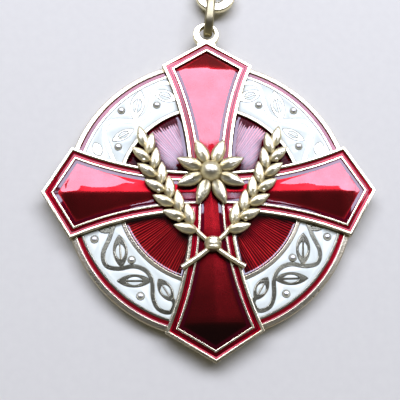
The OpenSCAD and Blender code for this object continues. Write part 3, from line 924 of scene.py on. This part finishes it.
# Flat loop on the top arm, and the foot that joins it to the rim
def makeLoop():
    shape = bmesh.new()
    for ring in ("loop", "hole"):
        place = Matrix.Translation((*cross[ring + "Centre"], cross["loopBase"]))
        bmesh.ops.create_circle(shape, segments=56, radius=cross[ring + "Radius"], matrix=place)
    bmesh.ops.bridge_loops(shape, edges=shape.edges[:])
    liftFaces(shape, shape.faces[:], cross["loopTop"])
    faceOutwards(shape)
    sharp = [e for e in shape.edges if len(e.link_faces) == 2 and e.calc_face_angle(0) > 1.2]
    bmesh.ops.bevel(shape, geom=sharp, affect="EDGES", offset=cross["loopRound"], segments=4,
                    profile=0.5, material=-1)
    foot = bmesh.new()
    corners = [foot.verts.new((x, y, cross["loopBase"])) for x, y in cross["foot"]]
    liftFaces(foot, [foot.faces.new(corners)], cross["footTop"])
    faceOutwards(foot)
    bmesh.ops.bevel(foot, geom=foot.edges[:], affect="EDGES", offset=cross["footRound"],
                    segments=3, profile=0.5, material=-1)
    joinShape(shape, foot)
    return shape


makeCross()
print("cross done")

channel = {"outer": 0.43, "inner": 1.08, "edge": 2.42, "top": 2.37, "middle": 0.11, "base": 2.03,
           "creepWidth": 0.07, "creepHeight": 2.39}


def makeChannel():
    shape = bmesh.new()
    face = innerFace(shape, channel["outer"], channel["edge"])
    width = channel["inner"] - channel["outer"]
    middle, half = width / 2, channel["middle"] / 2
    creep = channel["creepWidth"]
    insetRows(shape, face, [(creep, channel["creepHeight"]), (middle - half, channel["top"])])
    for dark in insetRows(shape, face, [(middle + half, channel["top"])], middle - half):
        dark.material_index = 1
    insetRows(shape, face, [(width - creep, channel["creepHeight"]), (width, channel["edge"])],
              middle + half)
    bmesh.ops.delete(shape, geom=[face], context="FACES")
    drawWalls(shape, channel["base"])
    bmesh.ops.bridge_loops(shape, edges=openEdges(shape))
    faceOutwards(shape)
    return addPiece("channelLine", shape, channelRed, ["channel_enamel"],
                    second=lineDeep)


makeChannel()
print("channel done")

# Arm enamel: one cross-shaped sheet of enamel; inside a level brim each arm rises to a soft hip
armEnamel = {
    "inset": 1.4, "brimStart": 0.05, "brim": 0.46, "foot": 0.6, "brimGrowth": 0.35,
    "creep": 2.43, "edge": 2.36, "level": 2.33, "rise": 0.64, "power": 1.2, "softHip": 0.2,
    "softDrop": 0.12, "softEnd": 0.05, "endX": 17.6, "base": 2.03, "across": 21, "longFrom": 17.5,
    "endCuts": 4, "wave": 0.010, "waveSize": 0.30, "planeFrom": 17.3,
}


# How much the brim is wider at a place along the arm than at its end
def brimExtra(along):
    return armEnamel["brimGrowth"] * max(0.0, 1 - along / cross["lastSideX"])


# Height over the brim of the plane in which an arm's end slopes down to the metal
def endHeight(along, across, edgeInset):
    endWay = Vector((cross["reach"] - cross["shoulderReach"], cross["shoulderHalf"])).normalized()
    tip = cross["reach"] - edgeInset / endWay.y
    fromEdge = (tip - along) * endWay.y - abs(across) * endWay.x
    return armEnamel["rise"] * fromEdge / ((tip - armEnamel["endX"]) * endWay.y)


# Height of the hipped enamel over its brim, at a place along an arm and across it
def hipHeight(along, across, edgeInset):
    look = armEnamel
    half = armSideY(along, edgeInset) - brimExtra(along)
    widest = armSideY(cross["shoulderReach"], edgeInset)
    soft = math.sqrt(across ** 2 + look["softHip"] ** 2) - look["softDrop"]
    sides = look["rise"] * (half / widest) ** look["power"] * (1 - soft / half)
    ends = endHeight(along, soft, edgeInset)
    blend = max(0.0, 1 - abs(sides - ends) / (4 * look["softEnd"]))
    return max(0.0, min(sides, ends) - blend * blend * look["softEnd"])


# Cuts the inner face into a grid: ties each point of an arm's side to the one across the arm,
# and closes the square at the middle
def gridAcross(shape, face):
    pairs = {}
    corners = []
    for vert in face.verts:
        x, y = vert.co.x, vert.co.y
        if abs(abs(x) - abs(y)) < 0.01:
            corners.append(vert)
        else:
            key = ("x", round(x, 2)) if abs(x) > abs(y) else ("y", round(y, 2))
            pairs.setdefault(key, []).append(vert)
    corners.sort(key=lambda v: math.atan2(v.co.y, v.co.x))
    links = [pair for pair in pairs.values() if len(pair) == 2]
    links += [[corners[i], corners[i - 1]] for i in range(4)]
    before = set(shape.edges)
    for pair in links:
        bmesh.ops.connect_verts(shape, verts=pair)
    bmesh.ops.subdivide_edges(shape, edges=[e for e in shape.edges if e not in before],
                              cuts=armEnamel["across"], use_grid_fill=True)


def makeArmEnamel():
    look = armEnamel
    shape = bmesh.new()
    # The rows are brought level at the end: until then their heights only vary the ripple
    face = innerFace(shape, look["inset"], look["creep"])
    brim = insetRows(shape, face, [(look["brimStart"], look["edge"]),
                                   (look["brim"], look["edge"])])
    widened = list(face.verts)
    insetRows(shape, face, [(look["foot"], look["level"])], look["brim"])
    for vert in widened + list(face.verts):
        x, y = abs(vert.co.x), abs(vert.co.y)
        extra = brimExtra(max(x, y))
        if x < y + 0.01:
            vert.co.x -= math.copysign(extra, vert.co.x)
        if y < x + 0.01:
            vert.co.y -= math.copysign(extra, vert.co.y)
    edgeInset = look["inset"] + look["foot"]
    longEdges = [e for e in face.edges
                 if max(abs(c) for v in e.verts for c in v.co.xy) > look["longFrom"]]
    bmesh.ops.subdivide_edges(shape, edges=longEdges, cuts=look["endCuts"])
    gridAcross(shape, face)
    for vert in shape.verts:
        along, side = sorted((abs(vert.co.x), abs(vert.co.y)), reverse=True)
        ripple = noise.noise(vert.co * look["waveSize"]) * look["wave"]
        height = hipHeight(along, side, edgeInset)
        if not height and vert.co.y > look["planeFrom"]:
            # At the end of the top arm the brim lies in the plane of the slope
            height = min(0.0, endHeight(along, side, edgeInset))
        vert.co.z = look["level"] + height + ripple
    for strip in brim:
        strip.material_index = int(strip.calc_center_median().y < look["planeFrom"] + 1)
    closeBelow(shape, look["base"])
    return addPiece("armEnamel", shape, armRed,
                    [f"arm_enamel_{k}" for k in range(1, 5)], 50, armBrim)


makeArmEnamel()
print("arm enamel done")

# Link and upper ring
link = {"height": 4.2, "thick": 0.8, "width": 1.3, "foot": (0.27, 23.78), "lean": 6.5,
        "reach": 7.1, "bendSteps": 20, "bow": 0.3}
upperRing = {"centre": (1.6, 30.65), "radius": 2.95, "hole": 1.45, "base": 0.95, "thick": 0.9,
             "round": 0.25}


# The link is drawn lying along +X, its height along +Y, and then stood up in its place
def makeLink():
    shape = bmesh.new()
    bendRadius = (link["height"] - link["thick"]) / 2
    straight = link["reach"] - 2 * bendRadius
    turnUp = Matrix.Rotation(math.pi / 2, 4, "Y")
    bmesh.ops.create_circle(shape, segments=20, radius=link["thick"] / 2, matrix=turnUp)
    for vert in shape.verts:
        vert.co.z += math.copysign((link["width"] - link["thick"]) / 2, vert.co.z)
        vert.co.x = bendRadius
        vert.co.y += bendRadius
    section = shape.verts[:] + shape.edges[:]
    ends = bmesh.ops.spin(shape, geom=section, cent=(bendRadius, 0, 0), axis=(0, 0, 1),
                          angle=math.pi, steps=link["bendSteps"])["geom_last"]
    for direction in (1, -1):
        made = bmesh.ops.extrude_edge_only(
            shape, edges=[g for g in ends if isinstance(g, bmesh.types.BMEdge)])["geom"]
        bmesh.ops.translate(shape, vec=(straight * direction, 0, 0), verts=onlyVerts(made))
        if direction > 0:
            ends = onlyVerts(made)
            ends += [g for g in made if isinstance(g, bmesh.types.BMEdge)
                     and all(v in ends for v in g.verts)]
            ends = bmesh.ops.spin(shape, geom=ends, cent=(bendRadius + straight, 0, 0),
                                  axis=(0, 0, 1), angle=math.pi,
                                  steps=link["bendSteps"])["geom_last"]
    bmesh.ops.subdivide_edges(shape, cuts=8, edges=[
        e for e in shape.edges if abs(e.verts[0].co.x - e.verts[1].co.x) > straight * 0.9])
    mergeDoubles(shape, 0.01)
    for vert in shape.verts:
        fromMiddle = vert.co.x / (link["reach"] / 2) - 1
        vert.co.y *= 1 - link["bow"] * fromMiddle ** 2
    faceOutwards(shape)
    place = (Matrix.Translation((*link["foot"], link["height"] / 2))
             @ turnZ(90 - link["lean"])
             @ Matrix.Rotation(math.pi / 2, 4, "X"))
    bmesh.ops.transform(shape, matrix=place, verts=shape.verts)
    return addPiece("longLink", shape, linkGilt, ["link"])


def makeUpperRing():
    shape = bmesh.new()
    low, high = upperRing["base"], upperRing["base"] + upperRing["thick"]
    bend = upperRing["round"]
    rows = []
    for r, z, first in ((upperRing["radius"] - bend, low + bend, -90),
                        (upperRing["radius"] - bend, high - bend, 0),
                        (upperRing["hole"] + bend, high - bend, 90),
                        (upperRing["hole"] + bend, low + bend, 180)):
        rows += [onCircle(first + a, bend, (r, z)) for a in (0, 30, 60, 90)]
    ringProfile(shape, rows + rows[:1], upperRing["centre"], 72)
    return addPiece("upperRing", shape, gilt, ["upper_ring"])


makeLink()
makeUpperRing()
print("link and ring done")

# Emblem: a rosette in a wreath of two branches tied with a knot
emblem = {"base": 2.78, "seat": 2.52}
leaf = {
    "length": 3.2, "width": 1.4, "tipHalf": 0.03, "fullness": 0.85, "roundness": 0.8,
    "edgeHeight": 0.30, "domeHeight": 0.36, "domeFrom": 0.1, "domeRoundness": 0.6,
    "ribShare": 0.28, "ribHeight": 0.17,
}
rosette = {
    "centre": (0, 2.6), "petals": 8, "petalStart": 1.0, "petalScale": (1.22, 1.25, 1.25),
    "bossRadius": 1.6, "bossHeight": 1.7, "steps": 40,
}
# The knot's rows say the place along Y, half the width and the height above the base
knot = {
    "rows": [(-6.35, 0.5, 0.7), (-6.45, 0.8, 0.95), (-6.6, 1.0, 1.1), (-6.9, 1.13, 1.2),
             (-7.3, 1.15, 1.2), (-7.7, 1.13, 1.2), (-8.0, 1.0, 1.1), (-8.15, 0.8, 0.95),
             (-8.25, 0.5, 0.7)],
    "folds": 3, "foldDepth": 0.06, "steps": 32,
}
laurel = {
    "centre": (-18, 13.7), "radius": 27.8, "foot": -60, "tip": -15.5, "firstLeaf": -44,
    "pairs": 6, "stagger": 0.45, "lean": 30, "tipShift": -0.2, "stem": 0.36, "stemPlace": 2.88,
    "stemSteps": 40, "stemFoot": 1.05, "stemTaper": 0.45, "berry": 0.38, "berryShare": 0.2,
    "berryReach": 0.75, "berryPlace": 3.03,
}


# One leaf along +X from its stalk: full in the middle, pointed, with a raised midrib
def makeLeaf():
    shape = bmesh.new()
    bmesh.ops.create_grid(shape, x_segments=10, y_segments=8, size=1)
    for vert in shape.verts:
        along, across = (vert.co.x + 1) / 2, vert.co.y
        fullness = max(0, math.sin(math.pi * along ** leaf["fullness"])) ** leaf["roundness"]
        half = leaf["tipHalf"] + leaf["width"] / 2 * fullness
        swell = min(1.0, leaf["domeFrom"] + (1 - leaf["domeFrom"]) * along)
        dome = math.sqrt(max(0.0, 1 - across ** 2))
        dome *= max(0.0, math.sin(math.pi * swell)) ** leaf["domeRoundness"]
        rib = max(0.0, 1 - abs(across) / leaf["ribShare"]) * (1 - along)
        vert.co = (leaf["length"] * along, half * across,
                   leaf["edgeHeight"] + leaf["domeHeight"] * dome + leaf["ribHeight"] * rib)
    closeBelow(shape, 0)
    return shape


# Round boss in a ring of petals
def makeRosette():
    shape = bmesh.new()
    rows = [(rosette["bossRadius"] * side, emblem["base"] + rosette["bossHeight"] * up)
            for side, up in map(onCircle, range(90, -1, -6))]
    rows += [(rosette["bossRadius"], emblem["seat"]), (0, emblem["seat"])]
    ringProfile(shape, rows, rosette["centre"], rosette["steps"])
    centre = Matrix.Translation((*rosette["centre"], emblem["base"]))
    for i in range(rosette["petals"]):
        joinShape(shape, makeLeaf(), centre @ turnZ(360 * (i + 0.5) / rosette["petals"])
                  @ Matrix.Translation((rosette["petalStart"], 0, 0))
                  @ Matrix.Diagonal((*rosette["petalScale"], 1)))
    faceOutwards(shape)
    return addPiece("rosette", shape, castGilt, ["trophy"], 50)


# Band tied over the crossed stems, with soft folds across it
def makeKnot():
    shape = bmesh.new()
    rows = smoothLine(knot["rows"], 3)
    verts = [shape.verts.new((half, y, 0)) for y, half, _ in rows]
    edges = [shape.edges.new(pair) for pair in zip(verts, verts[1:])]
    heights = {round(y, 4): height / half for y, half, height in rows}
    bmesh.ops.spin(shape, geom=verts + edges, cent=(0, 0, 0), axis=(0, -1, 0), angle=math.pi,
                   steps=knot["steps"])
    top, bottom = rows[0][0], rows[-1][0]
    for vert in shape.verts:
        y = vert.co.y
        fold = math.cos(2 * math.pi * knot["folds"] * (y - top) / (bottom - top))
        swell = 1 - knot["foldDepth"] * (1 + fold) / 2
        vert.co.x *= swell
        vert.co.z = emblem["base"] + vert.co.z * swell * heights.get(round(y, 4), 1.0)
    closeBelow(shape, emblem["seat"])
    return addPiece("knot", shape, castGilt, ["trophy"], 50)


def makeLaurel():
    shape = bmesh.new()
    centre, radius, foot = laurel["centre"], laurel["radius"], laurel["foot"]
    places = []
    for i in range(laurel["stemSteps"] + 1):
        share = i / laurel["stemSteps"]
        places.append((*onCircle(foot + (laurel["tip"] - foot) * share, radius, centre),
                       laurel["stemPlace"], laurel["stemFoot"] - laurel["stemTaper"] * share))
    joinShape(shape, barThrough(places, laurel["stem"]))

    def addLeaf(turn, shift, lean):
        joinShape(shape, makeLeaf(), Matrix.Translation((*centre, emblem["base"])) @ turnZ(turn)
                  @ Matrix.Translation((radius, shift, 0)) @ turnZ(90 + lean))

    step = (laurel["tip"] - laurel["firstLeaf"]) / laurel["pairs"]
    for i in range(laurel["pairs"]):
        for side, late in ((-1, 0), (1, laurel["stagger"])):
            addLeaf(laurel["firstLeaf"] + step * (i + late), 0, side * laurel["lean"])
        if i % 2:
            turn = laurel["firstLeaf"] + step * (i + laurel["berryShare"])
            berry = bmesh.new()
            bmesh.ops.create_icosphere(berry, subdivisions=2, radius=laurel["berry"])
            joinShape(shape, berry, Matrix.Translation((
                *onCircle(turn, radius + laurel["berryReach"], centre), laurel["berryPlace"])))
    addLeaf(laurel["tip"], laurel["tipShift"], 0)
    mirrorSideways(shape)
    return addPiece("laurel", shape, castGilt, ["trophy"], 50)


makeRosette()
makeKnot()
makeLaurel()
print("emblem done")
